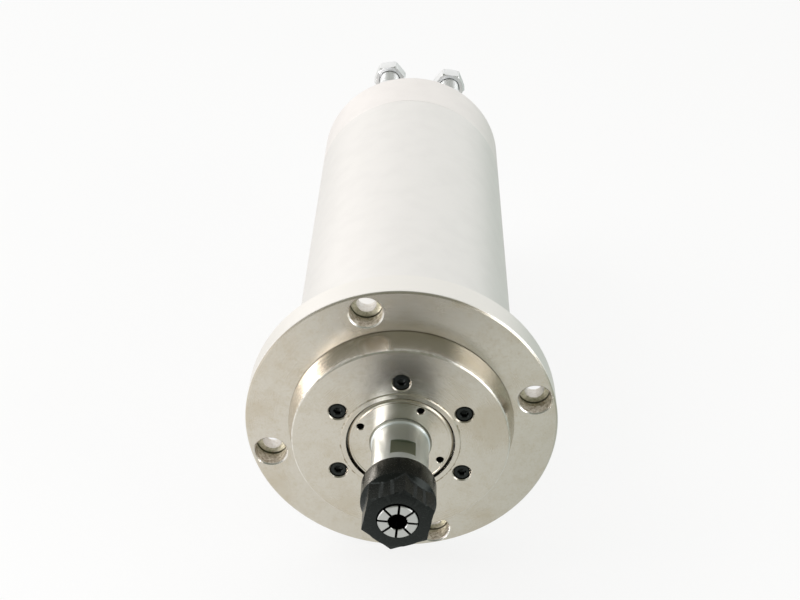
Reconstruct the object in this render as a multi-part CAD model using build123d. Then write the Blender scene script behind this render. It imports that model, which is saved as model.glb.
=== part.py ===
"""Water-cooled, flange-mounted motor spindle, 80 mm body, ER16 collet chuck.

Frame: millimetres, +Y along the spindle axis towards the rear, +Z up, +X to the right seen from the nose.
The origin is the centre of the flange's rear mounting face. Angles round the axis are measured from +X
towards +Z. Threads are plain cylinders; mating threads keep THREAD_GAP between them.
"""

from build123d import *

import os
from math import cos, radians, sin, sqrt, tan

# Body
TUBE_R = 40.0
TUBE_BORE_R = 37.0
TUBE_LENGTH = 175.0
CAP_LENGTH = 27.0
CAP_Y = TUBE_LENGTH
REAR_Y = TUBE_LENGTH + CAP_LENGTH

# Mounting flange
FLANGE_R = 53.25
FLANGE_THICKNESS = 11.0
FLANGE_BOLT_R = 46.5
FLANGE_BOLT_ANGLE = 15.0
FLANGE_HOLE_R = 3.3
FLANGE_COUNTERBORE_R = 5.5
FLANGE_COUNTERBORE_DEPTH = 6.2
FLANGE_CHAMFER = 0.7
HOLE_CHAMFER = 0.5
SEAM_CHAMFER = 0.1

# Front cover and its screws
COVER_HEIGHT = 9.5
COVER_FRONT_R = 36.65
COVER_BASE_R = 38.45
COVER_BORE_R = 18.35
COVER_LIP_R = 20.2
COVER_LIP_HEIGHT = 0.35
COVER_CHAMFER = 0.5
COVER_GROOVE = 0.35
COVER_SCREW_R = 24.2
COVER_HOLE_R = 1.7
COVER_COUNTERBORE_R = 3.05
COVER_COUNTERBORE_DEPTH = 3.4
COVER_HOLE_CHAMFER = 0.35
COVER_FACE_Y = -FLANGE_THICKNESS - COVER_HEIGHT

# Lock ring on the shaft inside the cover
LOCK_RING_R = 17.7
LOCK_RING_CHAMFER = 0.6
LOCK_RING_GROOVE_R = 16.45
LOCK_RING_GROOVE = 0.25
SPANNER_HOLE_R = 1.25
SPANNER_HOLE_CHAMFER = 0.2
SPANNER_HOLE_DEPTH = 5.5
SPANNER_HOLE_PITCH_R = 14.9
SPANNER_HOLE_ANGLE = 64.0

# Spindle nose
NOSE_R = 9.5
NOSE_FLATS = 17.0
NOSE_FLATS_Y = (-37.9, -31.0)
NOSE_FLATS_ANGLE = 83.0
NOSE_END_Y = -51.5
CHUCK_TAPER = 8.0

# Collet chuck
COLLET_FACE_Y = -61.3
COLLET_SHOULDER_Y = COLLET_FACE_Y + 6.0
COLLET_LENGTH = 27.5
COLLET_R = 8.5
COLLET_BORE_R = 3.0
COLLET_SLOT = 0.8
COLLET_REAR_SLOT = 0.4
COLLET_SLOT_ANGLE = -4.5
COLLET_GAP = 0.03
NUT_FRONT_Y = -60.5
NUT_HEX_Y = -53.7
NUT_COLLAR_Y = -52.0
NUT_BACK_Y = -43.6
NUT_R = 12.1
NUT_FLATS = 21.0
NUT_HEX_ANGLE = 80.0
NUT_CHAMFER = 12.0

# Bearings: bore, outside radius, width, ball radius, ball pitch radius, ball count
FRONT_BEARING = (10.0, 21.0, 12.0, 3.15, 15.5, 11)
REAR_BEARING = (7.5, 16.0, 9.0, 2.3, 11.7, 10)
FRONT_BEARINGS_Y = (-9.0, 6.0)
REAR_BEARINGS_Y = (146.0, 158.0)
RACE_GAP = 0.05

# Motor
STACK_Y = (38.0, 128.0)
STATOR_R = 32.0
STATOR_BORE_R = 18.0
STATOR_SLOTS = 24
ROTOR_R = 17.6
ROTOR_SEAT_R = 12.0
ROTOR_BARS = 18

# Water jacket
JACKET_Y = (22.0, 150.0)
CHANNEL_R = 34.3
CHANNELS = 5
CHANNEL_LAND = 5.0
PORT_R = 31.0
INLET_ANGLE = 110.5
OUTLET_ANGLE = 56.4
PORT_SLOT_WIDTH = 8.0

# Rear end
REAR_HOUSING_Y = (150.0, 170.0)
CAP_WALL = 6.0
CAP_CAVITY_R = 34.5
CAP_SCREW_R = 31.5
CAP_SCREW_ANGLE = 84.0
SOCKET_R = 17.0
SOCKET_ANGLE = 264.0
HARNESS_R = 26.0
HARNESS_ANGLE = 242.0
FITTING_FLATS = 13.0
FITTING_HEX_LENGTH = 6.0
FITTING_THREAD_R = 4.6
FITTING_THREAD_END = 25.5
BARB_R = 3.4
BARB_END = 34.0
UNION_NUT_FLATS = 13.0
UNION_NUT_SPAN = (22.0, 29.5)
UNION_NUT_TURNS = {INLET_ANGLE: 9.0, OUTLET_ANGLE: -8.0}

THREAD_GAP = 0.05
REGISTER_DEPTH = 0.5
SEAL_WIDTH = 2.6
SEAL_DEPTH = 2.2


def nose_plane(y):
    """Plane across the axis at y, its local X and Y along the model's X and Z."""
    return Plane(origin=(0, y, 0), x_dir=(1, 0, 0), z_dir=(0, -1, 0))


def turned(*profile):
    """Solid of revolution about the spindle axis from (radius, y) points."""
    return revolve(make_face(Polyline(*profile, close=True)), Axis.Y)


def ring(inner, outer, y_front, y_rear):
    """Plain ring about the spindle axis."""
    return turned((inner, y_front), (outer, y_front), (outer, y_rear), (inner, y_rear))


def prism(sketch, y_front, y_rear):
    """Sketch in the X-Z plane extruded from y_front to y_rear."""
    return extrude(nose_plane(y_rear) * sketch, y_rear - y_front)


def rod(radius, y_front, y_rear, at=(0, 0)):
    """Cylinder parallel to the axis, centred on at = (x, z)."""
    return prism(Pos(*at) * Circle(radius), y_front, y_rear)


def hexagon(flats, angle=0.0):
    """Hexagon over its flats, with one corner at the angle."""
    return Rot(0, 0, angle) * RegularPolygon(flats / 2, 6, major_radius=False)


def polar(radius, angle):
    """(x, z) of a point at a radius and angle round the axis."""
    return radius * cos(radians(angle)), radius * sin(radians(angle))


def angles(count, first=0.0):
    """Evenly spaced angles, starting at first."""
    return [first + 360.0 * i / count for i in range(count)]


def moved(shape, at):
    """Shape made on the spindle axis, moved sideways to (x, z)."""
    return Pos(at[0], 0, at[1]) * shape


def turned_to(shape, angle):
    """Shape made at angle 0 (on +X), turned round the axis to an angle."""
    return Rot(0, -angle, 0) * shape


def block(r_inner, r_outer, y_front, y_rear, width, angle):
    """Radial block of a given width, for slots and gates."""
    box = Box(r_outer - r_inner, y_rear - y_front, width)
    return turned_to(Pos((r_inner + r_outer) / 2, (y_front + y_rear) / 2, 0) * box, angle)


def counterbore(hole_r, head_r, face_y, depth, end_y, chamfer_size):
    """Cutter for a screw hole entered from the nose side, with a chamfered counterbore."""
    return turned(
        (0, face_y - 1),
        (head_r + chamfer_size, face_y - 1),
        (head_r + chamfer_size, face_y),
        (head_r, face_y + chamfer_size),
        (head_r, face_y + depth),
        (hole_r, face_y + depth),
        (hole_r, end_y),
        (0, end_y),
    )


def socket_screw(head_r, head_height, thread_r, y_head, length, towards_rear=True):
    """Cap screw with a hexagon socket, its head's outer face at y_head."""
    way = 1 if towards_rear else -1
    body = turned(
        (0, y_head),
        (head_r, y_head),
        (head_r, y_head + way * head_height),
        (thread_r, y_head + way * head_height),
        (thread_r, y_head + way * (head_height + length)),
        (0, y_head + way * (head_height + length)),
    )
    key = sorted((y_head, y_head + way * 0.5 * head_height))
    return body - prism(hexagon(0.95 * head_r), *key)


# ---------------------------------------------------------------- housing


def flange_housing():
    """Flange and front bearing housing, turned in one, with its spigot inside the tube."""
    bore_r = FRONT_BEARING[1]
    spigot_r = TUBE_BORE_R - 0.02
    front_y = -FLANGE_THICKNESS
    hub_r = 27.0
    body = turned(
        (bore_r, front_y),
        (FLANGE_R - FLANGE_CHAMFER, front_y),
        (FLANGE_R, front_y + FLANGE_CHAMFER),
        (FLANGE_R, -0.4),
        (FLANGE_R - 0.4, 0),
        (TUBE_R + 0.05, 0),
        (TUBE_R + 0.05, -REGISTER_DEPTH),
        (spigot_r, -REGISTER_DEPTH),
        (spigot_r, 8),
        (spigot_r - SEAL_DEPTH, 8),
        (spigot_r - SEAL_DEPTH, 8 + SEAL_WIDTH),
        (spigot_r, 8 + SEAL_WIDTH),
        (spigot_r, JACKET_Y[0]),
        (STATOR_R, JACKET_Y[0]),
        (STATOR_R, 9),
        (hub_r, 9),
        (hub_r, 21),
        (18, 21),
        (18, 18),
        (bore_r, 18),
    )
    bolt = counterbore(
        FLANGE_HOLE_R, FLANGE_COUNTERBORE_R, front_y, FLANGE_COUNTERBORE_DEPTH, 1, HOLE_CHAMFER
    )
    for angle in angles(4, FLANGE_BOLT_ANGLE):
        body -= moved(bolt, polar(FLANGE_BOLT_R, angle))
    for angle in angles(6, 90):
        body -= rod(1.5 + THREAD_GAP, front_y, -1, polar(COVER_SCREW_R, angle))
    return body


def front_cover():
    """Cover over the front bearings, held by six screws, with a raised lip round the lock ring."""
    base_y = -FLANGE_THICKNESS
    body = turned(
        (COVER_BORE_R, COVER_FACE_Y - COVER_LIP_HEIGHT),
        (COVER_LIP_R - COVER_LIP_HEIGHT, COVER_FACE_Y - COVER_LIP_HEIGHT),
        (COVER_LIP_R, COVER_FACE_Y),
        (COVER_FRONT_R - COVER_CHAMFER, COVER_FACE_Y),
        (COVER_FRONT_R, COVER_FACE_Y + COVER_CHAMFER),
        (COVER_BASE_R, base_y - COVER_GROOVE),
        (COVER_BASE_R - COVER_GROOVE, base_y - COVER_GROOVE),
        (COVER_BASE_R - COVER_GROOVE, base_y),
        (FRONT_BEARING[1] - 0.05, base_y),
        (FRONT_BEARING[1] - 0.05, FRONT_BEARINGS_Y[0]),
        (COVER_BORE_R, FRONT_BEARINGS_Y[0]),
    )
    hole = counterbore(
        COVER_HOLE_R,
        COVER_COUNTERBORE_R,
        COVER_FACE_Y,
        COVER_COUNTERBORE_DEPTH,
        base_y + 1,
        COVER_HOLE_CHAMFER,
    )
    for angle in angles(6, 90):
        body -= moved(hole, polar(COVER_SCREW_R, angle))
    return body


def front_cover_screws():
    """Six M3 cap screws, their heads just below the cover's face."""
    screw = socket_screw(2.75, 3.0, 1.5, COVER_FACE_Y + 0.4, 12.0)
    return [moved(screw, polar(COVER_SCREW_R, angle)) for angle in angles(6, 90)]


def outer_tube():
    """Body tube between the flange and the rear cap."""
    return turned(
        (TUBE_BORE_R, -REGISTER_DEPTH),
        (TUBE_R - REGISTER_DEPTH, -REGISTER_DEPTH),
        (TUBE_R, 0),
        (TUBE_R, TUBE_LENGTH - SEAM_CHAMFER),
        (TUBE_R - SEAM_CHAMFER, TUBE_LENGTH),
        (TUBE_BORE_R, TUBE_LENGTH),
    )


def seal(outer_r, y_front):
    """Sealing ring lying compressed in its groove."""
    return ring(outer_r - SEAL_DEPTH + 0.05, outer_r, y_front + 0.15, y_front + SEAL_WIDTH - 0.15)


def water_jacket():
    """Sleeve round the stator: C-shaped channels in series, with an axial return groove."""
    front, rear = JACKET_Y
    outer_r = TUBE_BORE_R - 0.05
    width = (rear - front - (CHANNELS + 1) * CHANNEL_LAND) / CHANNELS
    gap = 12.0
    body = ring(STATOR_R + 0.05, outer_r, front, rear)
    starts = [front + CHANNEL_LAND + i * (width + CHANNEL_LAND) for i in range(CHANNELS)]
    for start in starts:
        section = make_face(
            Polyline(
                (CHANNEL_R, start),
                (TUBE_R, start),
                (TUBE_R, start + width),
                (CHANNEL_R, start + width),
                close=True,
            )
        )
        channel = revolve(section, Axis.Y, revolution_arc=360 - 2 * gap)
        body -= turned_to(channel, OUTLET_ANGLE - gap)
    for i in range(CHANNELS - 1):
        end_angle = OUTLET_ANGLE + (1.4 if i % 2 == 0 else -1.4) * gap
        body -= block(
            CHANNEL_R, TUBE_R, starts[i] + width - 0.5, starts[i + 1] + 0.5, PORT_SLOT_WIDTH, end_angle
        )
    body -= block(CHANNEL_R, TUBE_R, starts[0], rear + 1, PORT_SLOT_WIDTH, OUTLET_ANGLE)
    body -= block(CHANNEL_R, TUBE_R, starts[0], starts[0] + width, 12, OUTLET_ANGLE - gap * 0.8)
    return body - block(CHANNEL_R, TUBE_R, rear - 6, rear + 1, PORT_SLOT_WIDTH, INLET_ANGLE)


def slot_sketch(clearance=0.0):
    """One stator slot, wedge-shaped, opening into the bore through a narrow mouth."""
    inner, outer, mouth = 19.4, 27.0, 0.9
    half_in, half_out = 1.3 - clearance, 2.2 - clearance
    outline = [
        (inner + clearance, -half_in),
        (outer - clearance, -half_out),
        (outer - clearance, half_out),
        (inner + clearance, half_in),
    ]
    slot = make_face(Polyline(*outline, close=True))
    if clearance:
        return slot
    return slot + Pos(18.5, 0) * Rectangle(2.2, 2 * mouth)


def stator_core():
    """Laminated stack with wedge-shaped slots open to the bore."""
    section = Circle(STATOR_R) - Circle(STATOR_BORE_R)
    for angle in angles(STATOR_SLOTS):
        section -= Rot(0, 0, angle) * slot_sketch()
    return prism(section, *STACK_Y)


def stator_winding():
    """Coil sides in the slots, joined by the moulded end turns at both ends of the stack."""
    front, rear = STACK_Y
    coil = turned((19.5, 3), (21, 0), (29.5, 0), (31, 3), (31, 11), (29, 13), (19.5, 13))
    winding = Pos(0, front - 13, 0) * coil
    winding += mirror(Pos(0, -rear - 13, 0) * coil, Plane.XZ)
    side = prism(slot_sketch(0.2), front - 1, rear + 1)
    for angle in angles(STATOR_SLOTS):
        winding += turned_to(side, angle)
    return winding


# ---------------------------------------------------------------- bearings


def bearing_outer_ring(bearing, y_front):
    """Outer ring with a faceted race, open on one side as angular-contact rings are."""
    _, outer, width, ball, pitch, _ = bearing
    race = pitch + ball + RACE_GAP
    land = pitch + 0.55 * ball
    mid = y_front + width / 2
    return turned(
        (land, y_front),
        (outer, y_front),
        (outer, y_front + width),
        (race - 0.2, y_front + width),
        (race, mid + 0.4 * ball),
        (race, mid - 0.4 * ball),
        (land, mid - 0.95 * ball),
    )


def bearing_inner_ring(bearing, y_front):
    """Inner ring with the matching race."""
    bore, _, width, ball, pitch, _ = bearing
    race = pitch - ball - RACE_GAP
    land = pitch - 0.55 * ball
    mid = y_front + width / 2
    return turned(
        (bore, y_front),
        (race + 0.2, y_front),
        (race, mid - 0.4 * ball),
        (race, mid + 0.4 * ball),
        (land, mid + 0.95 * ball),
        (land, y_front + width),
        (bore, y_front + width),
    )


def bearing_ball_set(bearing, y_front):
    """Balls with the cage's side ring. A ball is a cube cut back to 26 faces inside its sphere."""
    _, _, width, ball, pitch, count = bearing
    mid = y_front + width / 2
    size = 1.72 * ball
    faceted = chamfer(Box(size, size, size).edges(), 0.29 * size)
    cage = ring(pitch - 0.3 * ball, pitch + 0.3 * ball, mid + ball, mid + 1.25 * ball)
    return [cage] + [turned_to(Pos(pitch, mid, 0) * faceted, angle) for angle in angles(count)]


# ---------------------------------------------------------------- shaft


def chuck_radius(y):
    """Radius of the collet's taper at y, before the seat's gap."""
    return COLLET_R - (y - COLLET_SHOULDER_Y) * tan(radians(CHUCK_TAPER))


def shaft():
    """Stepped shaft: collet taper and wrench flats at the nose, seats for bearings and rotor."""
    front = FRONT_BEARING[0]
    rear = REAR_BEARING[0]
    taper_end = COLLET_FACE_Y + COLLET_LENGTH + 0.4
    body = turned(
        (0, -6),
        (4.8, -8.8),
        (4.8, taper_end),
        (chuck_radius(taper_end) + COLLET_GAP, taper_end),
        (chuck_radius(NOSE_END_Y) + COLLET_GAP, NOSE_END_Y),
        (NOSE_R - 0.6, NOSE_END_Y),
        (NOSE_R, NOSE_END_Y + 0.6),
        (NOSE_R, COVER_FACE_Y - 2),
        (front - 0.02, COVER_FACE_Y - 1.5),
        (front - 0.02, 18),
        (13.2, 18),
        (13.2, 24),
        (ROTOR_SEAT_R - 0.02, 24),
        (ROTOR_SEAT_R - 0.02, 138),
        (9.6, 140),
        (9.6, 146),
        (rear - 0.02, 146),
        (rear - 0.02, 173.2),
        (rear - 0.8, 174),
        (1.5, 174),
        (1.5, 168),
        (0, 167),
    )
    for side in (0, 180):
        body -= block(
            NOSE_FLATS / 2, NOSE_R + 2, *NOSE_FLATS_Y, 2 * NOSE_R + 4, NOSE_FLATS_ANGLE + side
        )
    return body


def lock_ring():
    """Ring screwed on the shaft against the bearings; its rim closes the cover's bore."""
    front_y = COVER_FACE_Y - COVER_LIP_HEIGHT
    rim_y = COVER_FACE_Y + 7
    back_y = FRONT_BEARINGS_Y[0]
    bore = FRONT_BEARING[0] + THREAD_GAP
    groove_y = front_y + LOCK_RING_GROOVE
    body = turned(
        (bore + 0.5, front_y),
        (LOCK_RING_GROOVE_R, front_y),
        (LOCK_RING_GROOVE_R, groove_y),
        (LOCK_RING_GROOVE_R + LOCK_RING_GROOVE, groove_y),
        (LOCK_RING_GROOVE_R + LOCK_RING_GROOVE, front_y),
        (LOCK_RING_R - LOCK_RING_CHAMFER, front_y),
        (LOCK_RING_R, front_y + LOCK_RING_CHAMFER),
        (LOCK_RING_R, rim_y),
        (13.2, rim_y),
        (12.2, back_y),
        (bore, back_y),
        (bore, front_y + 0.5),
    )
    hole = turned(
        (0, front_y - 1),
        (SPANNER_HOLE_R + 1 + SPANNER_HOLE_CHAMFER, front_y - 1),
        (SPANNER_HOLE_R, front_y + SPANNER_HOLE_CHAMFER),
        (SPANNER_HOLE_R, front_y + SPANNER_HOLE_DEPTH),
        (0, front_y + SPANNER_HOLE_DEPTH),
    )
    for angle in angles(4, SPANNER_HOLE_ANGLE):
        body -= moved(hole, polar(SPANNER_HOLE_PITCH_R, angle))
    return body


def rear_locknut():
    """Slotted round nut that clamps the rear bearings' inner rings."""
    body = ring(REAR_BEARING[0] + THREAD_GAP, 11, 167, 172)
    for angle in angles(4, 45):
        body -= block(9.5, 12, 166, 173, 3, angle)
    return body


def bar_sketch():
    """One rotor bar, wider towards the rim."""
    return make_face(Polyline((13.6, -0.7), (16.8, -1.3), (16.8, 1.3), (13.6, 0.7), close=True))


def rotor_core():
    """Laminated rotor with closed slots for the cage bars."""
    section = Circle(ROTOR_R) - Circle(ROTOR_SEAT_R)
    for angle in angles(ROTOR_BARS):
        section -= Rot(0, 0, angle) * bar_sketch()
    return prism(section, *STACK_Y)


def rotor_cage():
    """Die-cast cage: bars through the core and an end ring at each end."""
    front, rear = STACK_Y
    cage = ring(13, 17.2, front - 5, front) + ring(13, 17.2, rear, rear + 5)
    bar = prism(bar_sketch(), front, rear)
    for angle in angles(ROTOR_BARS):
        cage += turned_to(bar, angle)
    return cage


def balance_ring(y_front):
    """Ring beside the cage, with drillings taken out in balancing."""
    body = ring(ROTOR_SEAT_R, 16.5, y_front, y_front + 4)
    for angle in (20, 50):
        body -= rod(1.2, y_front - 1, y_front + 5, polar(14.4, angle))
    return body


# ---------------------------------------------------------------- collet chuck


def collet():
    """Spring collet: 8 degree taper, 30 degree nose, extraction groove and slots from both ends."""
    face = COLLET_FACE_Y
    back = face + COLLET_LENGTH
    cone_start = COLLET_SHOULDER_Y - (COLLET_R - 6.7) / tan(radians(30))
    body = turned(
        (COLLET_BORE_R, face + 0.3),
        (COLLET_BORE_R + 0.3, face),
        (6.1, face),
        (6.35, face + 0.25),
        (6.35, face + 1.5),
        (5.75, face + 1.5),
        (5.75, cone_start),
        (6.7, cone_start),
        (COLLET_R, COLLET_SHOULDER_Y),
        (chuck_radius(back), back),
        (COLLET_BORE_R + 0.6, back),
        (COLLET_BORE_R + 0.6, back - 8),
        (COLLET_BORE_R, back - 8),
    )
    for angle in angles(8, COLLET_SLOT_ANGLE):
        body -= block(2, 10, face - 1, back - 5, COLLET_SLOT, angle)
    for angle in angles(8, COLLET_SLOT_ANGLE + 22.5):
        body -= block(2, 10, face + 7.5, back + 1, COLLET_REAR_SLOT, angle)
    return body


def collet_nut():
    """Clamping nut: round collar behind, hexagon in front, eccentric lip for the collet's groove."""
    gap = 0.06
    cone_y = COLLET_SHOULDER_Y - (COLLET_R - 6.7) / tan(radians(30))
    lip_y = COLLET_FACE_Y + 1.62
    body = turned(
        (7.1, NUT_FRONT_Y),
        (10.6, NUT_FRONT_Y),
        (NUT_R, NUT_FRONT_Y + (NUT_R - 10.6) * tan(radians(NUT_CHAMFER))),
        (NUT_R, NUT_BACK_Y - 0.5),
        (NUT_R - 0.5, NUT_BACK_Y),
        (NOSE_R + THREAD_GAP, NUT_BACK_Y),
        (NOSE_R + THREAD_GAP, NUT_COLLAR_Y),
        (COLLET_R + gap + 0.4, NUT_COLLAR_Y),
        (COLLET_R + gap + 0.4, COLLET_SHOULDER_Y),
        (COLLET_R + gap, COLLET_SHOULDER_Y),
        (6.7 + gap, cone_y),
        (6.0, cone_y - 0.1),
        (6.0, lip_y),
        (6.6, lip_y),
        (6.6, NUT_FRONT_Y + 0.5),
    )
    body -= moved(rod(6.4, lip_y - 0.1, cone_y + 0.2), (0.34, 0))
    outside = prism(Circle(20) - hexagon(NUT_FLATS, NUT_HEX_ANGLE), NUT_FRONT_Y - 1, NUT_COLLAR_Y)
    run_out = turned(
        (0, NUT_HEX_Y), (NUT_FLATS / 2, NUT_HEX_Y), (NUT_R, NUT_COLLAR_Y), (0, NUT_COLLAR_Y)
    )
    return body - (outside - run_out)


# ---------------------------------------------------------------- rear end


def rear_bearing_housing():
    """Plug in the tube's rear end: bearing bore, water ports and the harness hole."""
    bore = REAR_BEARING[1] + 0.01
    front, rear = REAR_HOUSING_Y
    outer = TUBE_BORE_R - 0.02
    seal_y = 164.0
    body = turned(
        (14, 144),
        (22, 144),
        (22, front),
        (outer, front),
        (outer, seal_y),
        (outer - SEAL_DEPTH, seal_y),
        (outer - SEAL_DEPTH, seal_y + SEAL_WIDTH),
        (outer, seal_y + SEAL_WIDTH),
        (outer, rear),
        (bore, rear),
        (bore, 146),
        (14, 146),
    )
    for angle in (INLET_ANGLE, OUTLET_ANGLE):
        body -= rod(3.0 + THREAD_GAP, front + 5, rear + 1, polar(PORT_R, angle))
        body -= block(PORT_R, CHANNEL_R + 1, front + 5, front + 10, 4, angle)
        body -= block(CHANNEL_R, TUBE_R, front - 1, front + 11, PORT_SLOT_WIDTH, angle)
    body -= rod(3.2, front - 1, rear + 1, polar(HARNESS_R, HARNESS_ANGLE))
    for angle in angles(4, CAP_SCREW_ANGLE):
        body -= rod(2.0 + THREAD_GAP, rear - 11, rear + 1, polar(CAP_SCREW_R, angle))
    for angle in angles(3, 30):
        body -= rod(1.25 + THREAD_GAP, rear - 7, rear + 1, polar(19.2, angle))
    return body


def bearing_retainer():
    """Plate behind the rear bearings; its spigot backs the preload spring."""
    body = turned(
        (12.2, 168.8), (15.9, 168.8), (15.9, 170), (21.8, 170), (21.8, 172.5), (12.2, 172.5)
    )
    for angle in angles(3, 30):
        body -= rod(1.4, 169, 173, polar(19.2, angle))
    return body


def retainer_screws():
    """Three screws of the bearing retainer."""
    screw = socket_screw(2.3, 2.2, 1.25, 174.7, 8.0, towards_rear=False)
    return [moved(screw, polar(19.2, angle)) for angle in angles(3, 30)]


def preload_spring():
    """Conical disc spring between the retainer and the rear bearing's outer ring."""
    return turned((15.6, 167.05), (15.6, 167.75), (13.4, 168.75), (13.4, 168.05))


def rear_cap():
    """Cup over the rear end, with bosses for its screws and bores for the fittings and socket."""
    spigot_r = TUBE_BORE_R - 0.1
    cavity_end = REAR_Y - CAP_WALL
    body = turned(
        (0, REAR_HOUSING_Y[1] + 0.05),
        (spigot_r, REAR_HOUSING_Y[1] + 0.05),
        (spigot_r, CAP_Y),
        (TUBE_R - SEAM_CHAMFER, CAP_Y),
        (TUBE_R, CAP_Y + SEAM_CHAMFER),
        (TUBE_R, REAR_Y - 1.2),
        (TUBE_R - 1.2, REAR_Y),
        (0, REAR_Y),
    )
    cavity = Circle(CAP_CAVITY_R)
    for angle in angles(4, CAP_SCREW_ANGLE):
        cavity -= Pos(*polar(CAP_SCREW_R, angle)) * Circle(4.4)
    body -= prism(cavity, REAR_HOUSING_Y[1], cavity_end)
    for angle in angles(4, CAP_SCREW_ANGLE):
        at = polar(CAP_SCREW_R, angle)
        body -= rod(2.2, REAR_HOUSING_Y[1], REAR_Y + 1, at)
        body -= rod(3.7, REAR_Y - 4.6, REAR_Y + 1, at)
    for angle in (INLET_ANGLE, OUTLET_ANGLE):
        body -= rod(4.85 + THREAD_GAP, cavity_end - 1, REAR_Y + 1, polar(PORT_R, angle))
    return body - rod(7.9 + THREAD_GAP, cavity_end - 1, REAR_Y + 1, polar(SOCKET_R, SOCKET_ANGLE))


def rear_cap_screws():
    """Four long screws through the cap into the rear bearing housing."""
    screw = socket_screw(3.5, 4.0, 2.0, REAR_Y - 0.4, 36.0, towards_rear=False)
    return [moved(screw, polar(CAP_SCREW_R, angle)) for angle in angles(4, CAP_SCREW_ANGLE)]


def hose_fitting(angle):
    """Hose connector: thread in the cap, hexagon, long thread for the union nut, hose barb."""
    hex_end = REAR_Y + FITTING_HEX_LENGTH
    thread_end = REAR_Y + FITTING_THREAD_END
    barb_end = REAR_Y + BARB_END
    core = turned(
        (2.2, REAR_Y - CAP_WALL),
        (4.85, REAR_Y - CAP_WALL),
        (4.85, REAR_Y),
        (FITTING_THREAD_R - 0.7, REAR_Y),
        (FITTING_THREAD_R - 0.7, hex_end + 1.5),
        (FITTING_THREAD_R, hex_end + 1.5),
        (FITTING_THREAD_R, thread_end),
        (BARB_R - 0.4, thread_end + 0.5),
        (BARB_R - 0.4, barb_end - 4),
        (BARB_R, barb_end - 4),
        (BARB_R - 0.7, barb_end),
        (2.2, barb_end),
    )
    corner_r = FITTING_FLATS / sqrt(3) + 0.02
    nut = prism(hexagon(FITTING_FLATS, angle), REAR_Y, hex_end)
    bevel = turned(
        (2.2, REAR_Y),
        (corner_r, REAR_Y),
        (corner_r, hex_end - 0.6),
        (corner_r - 0.9, hex_end),
        (2.2, hex_end),
    )
    return moved(core + (nut & bevel) - rod(2.2, REAR_Y - 1, hex_end + 1), polar(PORT_R, angle))


def clamp_ring(angle):
    """Split clamp ring that the union nut presses on the hose."""
    front = REAR_Y + UNION_NUT_SPAN[0] + 4.1
    rim = ring(BARB_R + 0.2, FITTING_THREAD_R - 0.05, front, front + 1.8)
    return moved(rim - block(3, 5, front - 1, front + 3, 0.8, 90), polar(PORT_R, angle))


def union_nut(angle):
    """Hexagonal union nut screwed part of the way on the fitting's thread."""
    front, rear = (REAR_Y + end for end in UNION_NUT_SPAN)
    corner_r = UNION_NUT_FLATS / sqrt(3) + 0.02
    body = turned(
        (FITTING_THREAD_R + THREAD_GAP, front),
        (corner_r - 0.7, front),
        (corner_r, front + 0.4),
        (corner_r, rear - 0.7),
        (corner_r - 1.1, rear),
        (BARB_R + 0.6, rear),
        (BARB_R + 0.6, front + 6),
        (FITTING_THREAD_R + THREAD_GAP, front + 6),
    )
    hexagonal = prism(hexagon(UNION_NUT_FLATS, UNION_NUT_TURNS[angle]), front, rear)
    return moved(body & hexagonal, polar(PORT_R, angle))


def transfer_tube(angle):
    """Tube across the cap's cavity from a fitting to its port in the bearing housing."""
    tube = ring(2.2, 3.0, REAR_HOUSING_Y[1] - 8, REAR_Y - CAP_WALL)
    return moved(tube, polar(PORT_R, angle))


def power_socket_shell():
    """Round panel socket: flange outside the cap, open threaded rim for the plug."""
    body = turned(
        (6.6, REAR_Y - 11),
        (7.9, REAR_Y - 11),
        (7.9, REAR_Y),
        (9.6, REAR_Y),
        (9.6, REAR_Y + 2.5),
        (7.9, REAR_Y + 2.5),
        (7.9, REAR_Y + 13.4),
        (7.4, REAR_Y + 14),
        (6.6, REAR_Y + 14),
    )
    key = block(6.3, 7.3, REAR_Y + 6.5, REAR_Y + 15, 2.0, 90)
    return moved(body - key, polar(SOCKET_R, SOCKET_ANGLE))


def power_socket_insert():
    """Insulating disc that carries the socket's pins."""
    body = rod(6.5, REAR_Y - 10, REAR_Y + 5)
    for angle in angles(4, 45):
        body -= rod(1.0, REAR_Y - 11, REAR_Y + 6, polar(3.3, angle))
    return moved(body, polar(SOCKET_R, SOCKET_ANGLE))


def power_socket_pins():
    """Four contact pins."""
    centre = polar(SOCKET_R, SOCKET_ANGLE)
    pin = rod(0.95, REAR_Y - 13, REAR_Y + 7)
    return [moved(moved(pin, polar(3.3, angle)), centre) for angle in angles(4, 45)]


def power_socket_nut():
    """Thin nut that holds the socket from inside the cap."""
    body = prism(hexagon(20) - Circle(7.9 + THREAD_GAP), REAR_Y - CAP_WALL - 2.5, REAR_Y - CAP_WALL)
    return moved(body, polar(SOCKET_R, SOCKET_ANGLE))


def lead_harness():
    """Sleeved motor leads from the end turns to the socket's pins."""
    outer_x, outer_z = polar(HARNESS_R, HARNESS_ANGLE)
    inner_x, inner_z = polar(SOCKET_R, SOCKET_ANGLE)
    path = FilletPolyline(
        (outer_x, STACK_Y[1] + 13, outer_z),
        (outer_x, 173, outer_z),
        (inner_x, 183, inner_z),
        (inner_x, REAR_Y - 13, inner_z),
        radius=7,
    )
    start = Plane(origin=path @ 0, z_dir=path % 0)
    return sweep(start * Circle(2.4), path)


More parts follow.
